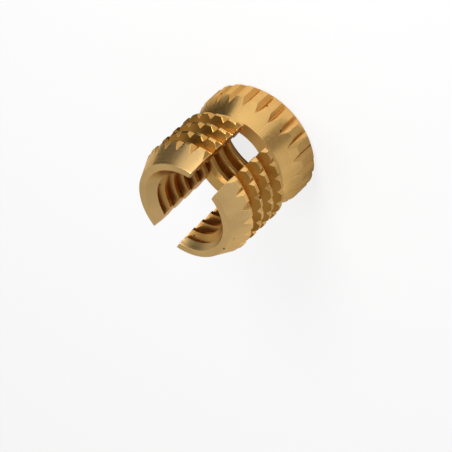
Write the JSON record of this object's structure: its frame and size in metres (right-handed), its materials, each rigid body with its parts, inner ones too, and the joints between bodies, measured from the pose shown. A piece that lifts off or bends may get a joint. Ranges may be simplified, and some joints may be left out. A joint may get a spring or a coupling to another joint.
{
  "type": "slotted press-in threaded insert",
  "caption": "Slotted press-in insert: a brass sleeve with a straight knurl, sharp grip rings, a split tapered nose and a screw thread right through its bore.",
  "frame": {"origin": "centre of the collar's flat end face, on the bore's axis", "axes": "+Z along the bore from the collar to the split nose; the slot runs along Y and its walls face X"},
  "size_m": [0.0086, 0.0086, 0.009],
  "materials": {
    "brass": "satin turned brass with fine machining lines"
  },
  "bodies": {
    "root": {"threaded_insert": "brass"}
  },
  "joints": []
}
